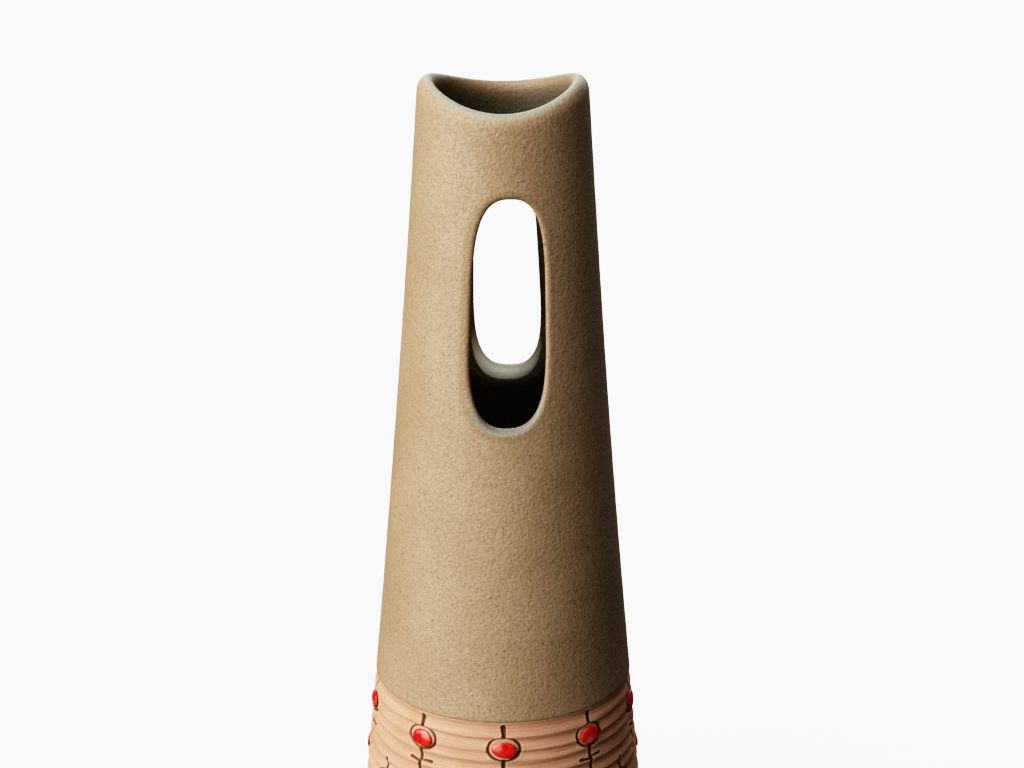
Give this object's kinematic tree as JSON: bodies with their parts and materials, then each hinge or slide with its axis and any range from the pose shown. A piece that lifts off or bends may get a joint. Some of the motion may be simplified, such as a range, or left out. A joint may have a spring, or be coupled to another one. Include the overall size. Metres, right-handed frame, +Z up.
{
  "type": "stoneware bottle vase",
  "caption": "Tall tapering stoneware vase with a saddle rim, a cut window through front and back, speckled glaze and a bare ridged lower band with red enamel drops.",
  "frame": {"origin": "centre of the foot ring on the plane the vase stands on", "axes": "+Z up the turning axis towards the mouth, -Y out of the front window, +X to the viewer's right when looking at the front window"},
  "size_m": [0.1328, 0.1328, 0.4],
  "materials": {
    "bare_clay": "matte unglazed buff-pink stoneware",
    "speckled_glaze": "satin-matte beige glaze with fine dark speckles",
    "lining_glaze": "satin brown-beige glaze",
    "red_enamel": "glossy domed enamel"
  },
  "bodies": {
    "root": {"lower_body": "bare_clay", "upper_body": "bare_clay", "glaze_coat": "speckled_glaze", "lining_glaze": "lining_glaze", "enamel_drop_1_01": "red_enamel", "enamel_drop_1_02": "red_enamel", "enamel_drop_1_03": "red_enamel", "enamel_drop_1_04": "red_enamel", "enamel_drop_1_05": "red_enamel", "enamel_drop_1_06": "red_enamel", "enamel_drop_1_07": "red_enamel", "enamel_drop_1_08": "red_enamel", "enamel_drop_1_09": "red_enamel", "enamel_drop_1_10": "red_enamel", "enamel_drop_2_01": "red_enamel", "enamel_drop_2_02": "red_enamel", "enamel_drop_2_03": "red_enamel", "enamel_drop_2_04": "red_enamel", "enamel_drop_2_05": "red_enamel", "enamel_drop_2_06": "red_enamel", "enamel_drop_2_07": "red_enamel", "enamel_drop_2_08": "red_enamel", "enamel_drop_2_09": "red_enamel", "enamel_drop_2_10": "red_enamel", "enamel_drop_3_01": "red_enamel", "enamel_drop_3_02": "red_enamel", "enamel_drop_3_03": "red_enamel", "enamel_drop_3_04": "red_enamel", "enamel_drop_3_05": "red_enamel", "enamel_drop_3_06": "red_enamel", "enamel_drop_3_07": "red_enamel", "enamel_drop_3_08": "red_enamel", "enamel_drop_3_09": "red_enamel", "enamel_drop_3_10": "red_enamel"}
  },
  "joints": []
}
